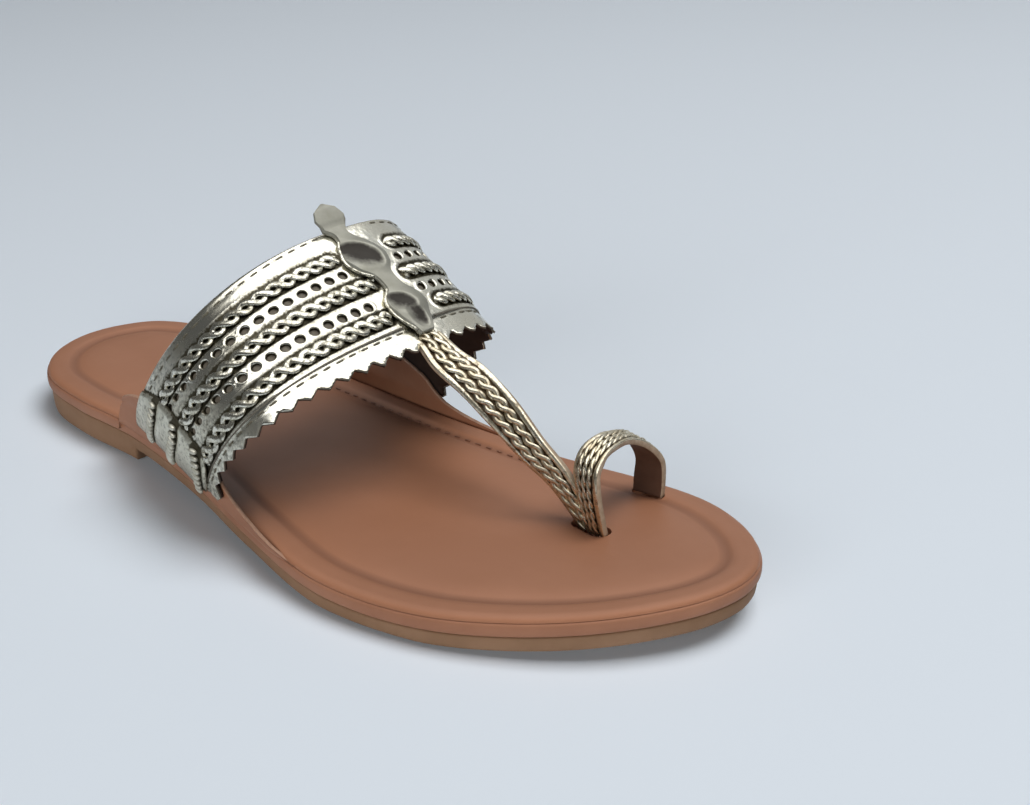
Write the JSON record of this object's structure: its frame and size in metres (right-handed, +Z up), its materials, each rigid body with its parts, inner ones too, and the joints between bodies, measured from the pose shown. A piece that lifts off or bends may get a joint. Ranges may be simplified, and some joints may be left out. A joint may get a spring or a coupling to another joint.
{
  "type": "kolhapuri toe-loop sandal",
  "caption": "Flat open kolhapuri sandal, right foot: wide pinked metallic instep band with crest ornament, toe strap, big-toe loop, padded brown footbed and low heel.",
  "frame": {"origin": "centre of the bounding box at floor level, under the sole", "axes": "+X from heel to toe, +Y to the big-toe (medial) side, +Z up; the shoe stands on z = 0"},
  "size_m": [0.2504, 0.098, 0.0769],
  "materials": {
    "rubber_sole": "matte moulded, tan-brown",
    "brown_leather": "satin smooth chestnut-tan, lightly padded",
    "metallic_leather": "champagne foil over leather, glossy"
  },
  "bodies": {
    "root": {"outsole": "rubber_sole", "midsole_board": "brown_leather", "footbed": "brown_leather", "upper": "metallic_leather", "wing_lateral": "brown_leather", "wing_medial": "brown_leather", "side_panel_lateral": "metallic_leather", "side_panel_medial": "metallic_leather", "crest_ornament": "metallic_leather"}
  },
  "joints": []
}
